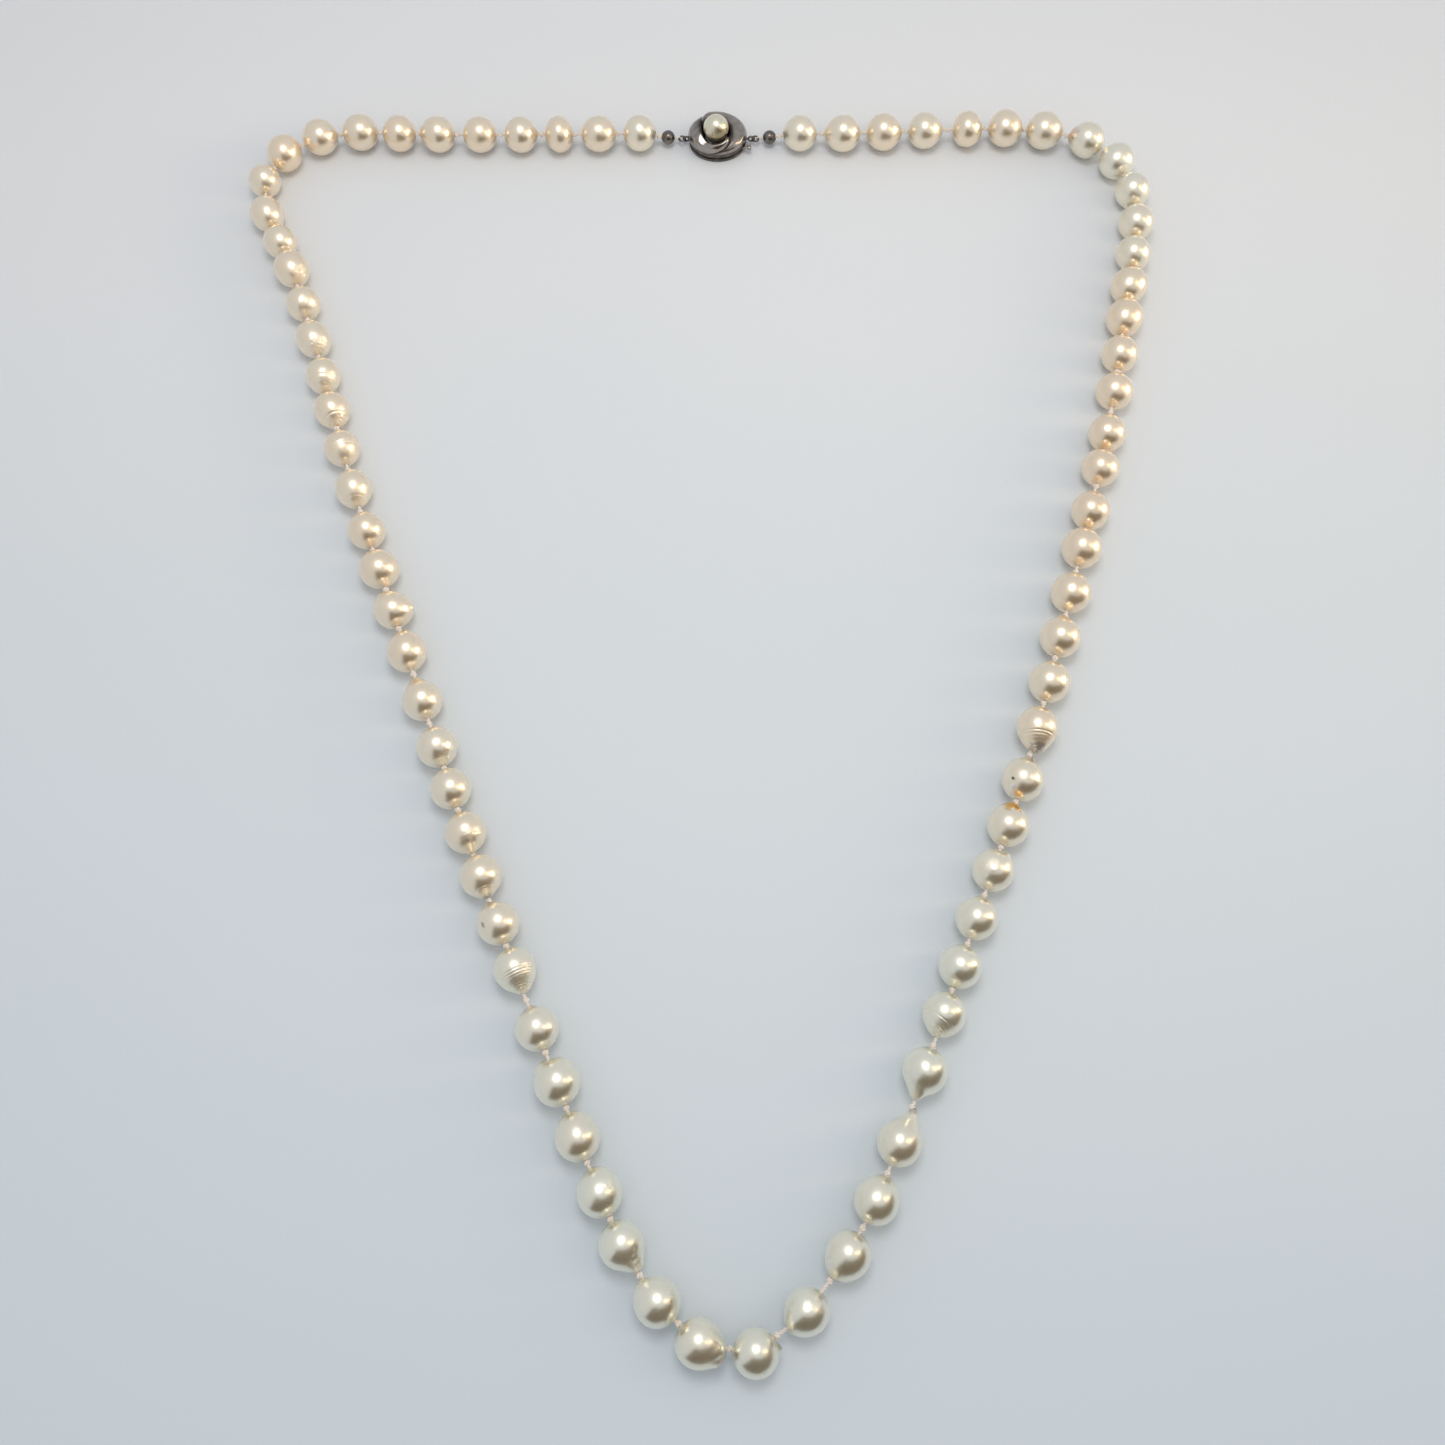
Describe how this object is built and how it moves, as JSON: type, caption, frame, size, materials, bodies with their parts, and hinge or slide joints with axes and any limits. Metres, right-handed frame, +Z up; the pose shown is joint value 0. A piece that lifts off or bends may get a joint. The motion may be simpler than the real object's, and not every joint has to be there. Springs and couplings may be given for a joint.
{
  "type": "pearl necklace",
  "caption": "Closed loop of round pearls knotted one by one on silk, fastened by an oval domed clasp with a set pearl and a spring tongue; worn round the neck.",
  "frame": {"origin": "middle of the necklace's box, on the table that the pearls rest on", "axes": "+Z up from the table, +Y from the front pearl towards the clasp, +X along the clasp from its box to its tongue"},
  "size_m": [0.19, 0.2479, 0.0083],
  "materials": {
    "pearl": "ivory nacre with a soft pink overtone, glossy",
    "clasp_pearl": "ivory nacre, glossy",
    "silk": "twisted cream silk, matte sheen",
    "silver": "dark, lightly tarnished silver, polished",
    "bright_silver": "bright silver, satin"
  },
  "bodies": {
    "front_pearl": {"front_pearl": "pearl"},
    "left_pearls_37_38": {"left_pearls_37_38": "pearl"},
    "left_pearls_35_36": {"left_pearls_35_36": "pearl"},
    "left_pearls_33_34": {"left_pearls_33_34": "pearl"},
    "left_pearls_31_32": {"left_pearls_31_32": "pearl"},
    "left_pearls_29_30": {"left_pearls_29_30": "pearl"},
    "left_pearls_27_28": {"left_pearls_27_28": "pearl"},
    "left_pearls_25_26": {"left_pearls_25_26": "pearl"},
    "left_pearls_23_24": {"left_pearls_23_24": "pearl"},
    "left_pearls_21_22": {"left_pearls_21_22": "pearl"},
    "left_pearls_19_20": {"left_pearls_19_20": "pearl"},
    "left_pearls_17_18": {"left_pearls_17_18": "pearl"},
    "left_pearls_15_16": {"left_pearls_15_16": "pearl"},
    "left_pearls_13_14": {"left_pearls_13_14": "pearl"},
    "left_pearls_11_12": {"left_pearls_11_12": "pearl"},
    "left_pearls_09_10": {"left_pearls_09_10": "pearl"},
    "left_pearls_07_08": {"left_pearls_07_08": "pearl"},
    "left_pearls_05_06": {"left_pearls_05_06": "pearl"},
    "left_pearls_03_04": {"left_pearls_03_04": "pearl"},
    "left_pearls_01_02": {"left_pearls_01_02": "pearl"},
    "left_bead": {"left_end_bead": "silver", "left_jump_ring": "silver", "left_silk_end": "silk"},
    "clasp_box": {"clasp_back_plate": "silver", "clasp_cover": "silver", "clasp_pearl": "clasp_pearl", "clasp_pearl_cup": "bright_silver", "clasp_side_wall": "silver", "left_eye": "silver"},
    "right_pearl_35": {"right_pearl_35": "pearl"},
    "right_pearls_33_34": {"right_pearls_33_34": "pearl"},
    "right_pearls_31_32": {"right_pearls_31_32": "pearl"},
    "right_pearls_29_30": {"right_pearls_29_30": "pearl"},
    "right_pearls_27_28": {"right_pearls_27_28": "pearl"},
    "right_pearls_25_26": {"right_pearls_25_26": "pearl"},
    "right_pearls_23_24": {"right_pearls_23_24": "pearl"},
    "right_pearls_21_22": {"right_pearls_21_22": "pearl"},
    "right_pearls_19_20": {"right_pearls_19_20": "pearl"},
    "right_pearls_17_18": {"right_pearls_17_18": "pearl"},
    "right_pearls_15_16": {"right_pearls_15_16": "pearl"},
    "right_pearls_13_14": {"right_pearls_13_14": "pearl"},
    "right_pearls_11_12": {"right_pearls_11_12": "pearl"},
    "right_pearls_09_10": {"right_pearls_09_10": "pearl"},
    "right_pearls_07_08": {"right_pearls_07_08": "pearl"},
    "right_pearls_05_06": {"right_pearls_05_06": "pearl"},
    "right_pearls_03_04": {"right_pearls_03_04": "pearl"},
    "right_pearls_01_02": {"right_pearls_01_02": "pearl"},
    "right_bead": {"right_end_bead": "silver", "right_jump_ring": "silver", "right_silk_end": "silk"},
    "clasp_tongue": {"right_eye": "silver", "tongue_lower_leaf": "bright_silver"},
    "tongue_spring": {"thumb_tab": "bright_silver", "tongue_spring_leaf": "bright_silver"}
  },
  "joints": [
    {"name": "left_knot_38", "type": "hinge", "parent": "front_pearl", "child": "left_pearls_37_38", "pos_m": [0.00578, -0.11923, 0.00385], "axis": [0, 0, 1], "range_deg": [0, 25]},
    {"name": "left_knot_36", "type": "hinge", "parent": "left_pearls_37_38", "child": "left_pearls_35_36", "pos_m": [-0.00826, -0.10834, 0.00384], "axis": [0, 0, 1], "range_deg": [0, 25]},
    {"name": "left_knot_34", "type": "hinge", "parent": "left_pearls_35_36", "child": "left_pearls_33_34", "pos_m": [-0.01687, -0.09191, 0.00383], "axis": [0, 0, 1], "range_deg": [0, 25]},
    {"name": "left_knot_32", "type": "hinge", "parent": "left_pearls_33_34", "child": "left_pearls_31_32", "pos_m": [-0.02449, -0.07415, 0.00389], "axis": [0, 0, 1], "range_deg": [0, 25]},
    {"name": "left_knot_30", "type": "hinge", "parent": "left_pearls_31_32", "child": "left_pearls_29_30", "pos_m": [-0.0322, -0.05577, 0.00381], "axis": [0, 0, 1], "range_deg": [0, 25]},
    {"name": "left_knot_28", "type": "hinge", "parent": "left_pearls_29_30", "child": "left_pearls_27_28", "pos_m": [-0.03891, -0.03945, 0.0038], "axis": [0, 0, 1], "range_deg": [-25.01, 0]},
    {"name": "left_knot_26", "type": "hinge", "parent": "left_pearls_27_28", "child": "left_pearls_25_26", "pos_m": [-0.04512, -0.02351, 0.00379], "axis": [0, 0, 1], "range_deg": [-25.01, 0]},
    {"name": "left_knot_24", "type": "hinge", "parent": "left_pearls_25_26", "child": "left_pearls_23_24", "pos_m": [-0.05172, -0.00589, 0.00378], "axis": [0, 0, 1], "range_deg": [-25.01, 0]},
    {"name": "left_knot_22", "type": "hinge", "parent": "left_pearls_23_24", "child": "left_pearls_21_22", "pos_m": [-0.05835, 0.01162, 0.0037], "axis": [0, 0, 1], "range_deg": [-25.01, 0]},
    {"name": "left_knot_20", "type": "hinge", "parent": "left_pearls_21_22", "child": "left_pearls_19_20", "pos_m": [-0.06475, 0.02865, 0.00366], "axis": [0, 0, 1], "range_deg": [-25.01, 0]},
    {"name": "left_knot_18", "type": "hinge", "parent": "left_pearls_19_20", "child": "left_pearls_17_18", "pos_m": [-0.07084, 0.04644, 0.00356], "axis": [0, 0, 1], "range_deg": [0, 25]},
    {"name": "left_knot_16", "type": "hinge", "parent": "left_pearls_17_18", "child": "left_pearls_15_16", "pos_m": [-0.0761, 0.06288, 0.00355], "axis": [0, 0, 1], "range_deg": [0, 25]},
    {"name": "left_knot_14", "type": "hinge", "parent": "left_pearls_15_16", "child": "left_pearls_13_14", "pos_m": [-0.08202, 0.07986, 0.00356], "axis": [0, 0, 1], "range_deg": [0, 25]},
    {"name": "left_knot_12", "type": "hinge", "parent": "left_pearls_13_14", "child": "left_pearls_11_12", "pos_m": [-0.08843, 0.09441, 0.00348], "axis": [0, 0, 1], "range_deg": [0, 12]},
    {"name": "left_knot_10", "type": "hinge", "parent": "left_pearls_11_12", "child": "left_pearls_09_10", "pos_m": [-0.08994, 0.10979, 0.00359], "axis": [0, 0, 1], "range_deg": [0, 12.01]},
    {"name": "left_knot_08", "type": "hinge", "parent": "left_pearls_09_10", "child": "left_pearls_07_08", "pos_m": [-0.0767, 0.11842, 0.00371], "axis": [0, 0, 1], "range_deg": [-25.01, 0]},
    {"name": "left_knot_06", "type": "hinge", "parent": "left_pearls_07_08", "child": "left_pearls_05_06", "pos_m": [-0.05983, 0.11864, 0.0037], "axis": [0, 0, 1], "range_deg": [-25.01, 0]},
    {"name": "left_knot_04", "type": "hinge", "parent": "left_pearls_05_06", "child": "left_pearls_03_04", "pos_m": [-0.04245, 0.11844, 0.00369], "axis": [0, 0, 1], "range_deg": [-25.01, 0]},
    {"name": "left_knot_02", "type": "hinge", "parent": "left_pearls_03_04", "child": "left_pearls_01_02", "pos_m": [-0.0256, 0.1186, 0.00368], "axis": [0, 0, 1], "range_deg": [-24.01, 0]},
    {"name": "left_bead_knot", "type": "hinge", "parent": "left_pearls_01_02", "child": "left_bead", "pos_m": [-0.00865, 0.11907, 0.00261], "axis": [0, 0, 1], "range_deg": [-20, 20]},
    {"name": "left_eye_pivot", "type": "hinge", "parent": "left_bead", "child": "clasp_box", "pos_m": [-0.00338, 0.11933, 0.0015], "axis": [0, 0, 1], "range_deg": [-20.01, 20.01]},
    {"name": "right_knot_35", "type": "hinge", "parent": "front_pearl", "child": "right_pearl_35", "pos_m": [0.01445, -0.11689, 0.0038], "axis": [0, 0, 1], "range_deg": [-28.1, 0]},
    {"name": "right_knot_34", "type": "hinge", "parent": "right_pearl_35", "child": "right_pearls_33_34", "pos_m": [0.02187, -0.10974, 0.00379], "axis": [0, 0, 1], "range_deg": [-23.76, 0]},
    {"name": "right_knot_32", "type": "hinge", "parent": "right_pearls_33_34", "child": "right_pearls_31_32", "pos_m": [0.03217, -0.09284, 0.00383], "axis": [0, 0, 1], "range_deg": [-25.32, 0]},
    {"name": "right_knot_30", "type": "hinge", "parent": "right_pearls_31_32", "child": "right_pearls_29_30", "pos_m": [0.04087, -0.07193, 0.0039], "axis": [0, 0, 1], "range_deg": [-27.12, 0]},
    {"name": "right_knot_28", "type": "hinge", "parent": "right_pearls_29_30", "child": "right_pearls_27_28", "pos_m": [0.04752, -0.05513, 0.00381], "axis": [0, 0, 1], "range_deg": [-27.37, 0]},
    {"name": "right_knot_26", "type": "hinge", "parent": "right_pearls_27_28", "child": "right_pearls_25_26", "pos_m": [0.05423, -0.03833, 0.0038], "axis": [0, 0, 1], "range_deg": [0, 28.1]},
    {"name": "right_knot_24", "type": "hinge", "parent": "right_pearls_25_26", "child": "right_pearls_23_24", "pos_m": [0.06068, -0.02083, 0.00389], "axis": [0, 0, 1], "range_deg": [0, 23.76]},
    {"name": "right_knot_22", "type": "hinge", "parent": "right_pearls_23_24", "child": "right_pearls_21_22", "pos_m": [0.06659, -0.00258, 0.00388], "axis": [0, 0, 1], "range_deg": [0, 25.32]},
    {"name": "right_knot_20", "type": "hinge", "parent": "right_pearls_21_22", "child": "right_pearls_19_20", "pos_m": [0.0721, 0.01555, 0.00395], "axis": [0, 0, 1], "range_deg": [0, 27.12]},
    {"name": "right_knot_18", "type": "hinge", "parent": "right_pearls_19_20", "child": "right_pearls_17_18", "pos_m": [0.07726, 0.03298, 0.00376], "axis": [0, 0, 1], "range_deg": [0, 27.37]},
    {"name": "right_knot_16", "type": "hinge", "parent": "right_pearls_17_18", "child": "right_pearls_15_16", "pos_m": [0.08185, 0.05012, 0.00375], "axis": [0, 0, 1], "range_deg": [-30.01, 0]},
    {"name": "right_knot_14", "type": "hinge", "parent": "right_pearls_15_16", "child": "right_pearls_13_14", "pos_m": [0.0858, 0.06784, 0.00374], "axis": [0, 0, 1], "range_deg": [-25.34, 0]},
    {"name": "right_knot_12", "type": "hinge", "parent": "right_pearls_13_14", "child": "right_pearls_11_12", "pos_m": [0.08915, 0.08386, 0.00373], "axis": [0, 0, 1], "range_deg": [-27.34, 0]},
    {"name": "right_knot_10", "type": "hinge", "parent": "right_pearls_11_12", "child": "right_pearls_09_10", "pos_m": [0.09134, 0.09971, 0.00372], "axis": [0, 0, 1], "range_deg": [-27.2, 0]},
    {"name": "right_knot_08", "type": "hinge", "parent": "right_pearls_09_10", "child": "right_pearls_07_08", "pos_m": [0.08592, 0.11422, 0.00371], "axis": [0, 0, 1], "range_deg": [0, 30.01]},
    {"name": "right_knot_06", "type": "hinge", "parent": "right_pearls_07_08", "child": "right_pearls_05_06", "pos_m": [0.06975, 0.1197, 0.00383], "axis": [0, 0, 1], "range_deg": [0, 25.34]},
    {"name": "right_knot_04", "type": "hinge", "parent": "right_pearls_05_06", "child": "right_pearls_03_04", "pos_m": [0.05295, 0.11972, 0.00369], "axis": [0, 0, 1], "range_deg": [0, 27.34]},
    {"name": "right_knot_02", "type": "hinge", "parent": "right_pearls_03_04", "child": "right_pearls_01_02", "pos_m": [0.03523, 0.11883, 0.00378], "axis": [0, 0, 1], "range_deg": [0, 27.2]},
    {"name": "right_bead_knot", "type": "hinge", "parent": "right_pearls_01_02", "child": "right_bead", "pos_m": [0.01767, 0.11906, 0.00266], "axis": [0, 0, 1], "range_deg": [-18.48, 18.48]},
    {"name": "right_eye_pivot", "type": "hinge", "parent": "right_bead", "child": "clasp_tongue", "pos_m": [0.01197, 0.11933, 0.0015], "axis": [0, 0, 1], "range_deg": [-18.48, 18.48]},
    {"name": "thumb_tab_press", "type": "hinge", "parent": "clasp_tongue", "child": "tongue_spring", "pos_m": [0.00162, 0.11933, 0.0012], "axis": [0, 1, 0], "range_deg": [0, 2.2], "stiffness_Nm_per_rad": 0.1}
  ],
  "couplings": [
    {"joint": "left_knot_28", "follows": "left_knot_38", "ratio": -1},
    {"joint": "right_knot_35", "follows": "left_knot_38", "ratio": -1.1235},
    {"joint": "right_knot_26", "follows": "left_knot_38", "ratio": 1.1235},
    {"joint": "left_knot_26", "follows": "left_knot_36", "ratio": -1},
    {"joint": "right_knot_34", "follows": "left_knot_36", "ratio": -0.9499},
    {"joint": "right_knot_24", "follows": "left_knot_36", "ratio": 0.9499},
    {"joint": "left_knot_24", "follows": "left_knot_34", "ratio": -1},
    {"joint": "right_knot_32", "follows": "left_knot_34", "ratio": -1.0124},
    {"joint": "right_knot_22", "follows": "left_knot_34", "ratio": 1.0124},
    {"joint": "left_knot_22", "follows": "left_knot_32", "ratio": -1},
    {"joint": "right_knot_30", "follows": "left_knot_32", "ratio": -1.0845},
    {"joint": "right_knot_20", "follows": "left_knot_32", "ratio": 1.0845},
    {"joint": "left_knot_20", "follows": "left_knot_30", "ratio": -1},
    {"joint": "right_knot_28", "follows": "left_knot_30", "ratio": -1.0944},
    {"joint": "right_knot_18", "follows": "left_knot_30", "ratio": 1.0944},
    {"joint": "left_knot_08", "follows": "left_knot_18", "ratio": -1},
    {"joint": "right_knot_16", "follows": "left_knot_18", "ratio": -1.2},
    {"joint": "right_knot_08", "follows": "left_knot_18", "ratio": 1.2},
    {"joint": "left_knot_06", "follows": "left_knot_16", "ratio": -1},
    {"joint": "right_knot_14", "follows": "left_knot_16", "ratio": -1.0134},
    {"joint": "right_knot_06", "follows": "left_knot_16", "ratio": 1.0134},
    {"joint": "left_knot_04", "follows": "left_knot_14", "ratio": -1},
    {"joint": "right_knot_12", "follows": "left_knot_14", "ratio": -1.0931},
    {"joint": "right_knot_04", "follows": "left_knot_14", "ratio": 1.0931},
    {"joint": "left_knot_10", "follows": "left_knot_12", "ratio": 1},
    {"joint": "left_knot_02", "follows": "left_knot_12", "ratio": -2},
    {"joint": "right_knot_10", "follows": "left_knot_12", "ratio": -2.2662},
    {"joint": "right_knot_02", "follows": "left_knot_12", "ratio": 2.2662},
    {"joint": "left_eye_pivot", "follows": "left_bead_knot", "ratio": -1},
    {"joint": "right_bead_knot", "follows": "left_bead_knot", "ratio": -0.9236},
    {"joint": "right_eye_pivot", "follows": "left_bead_knot", "ratio": 0.9236}
  ]
}
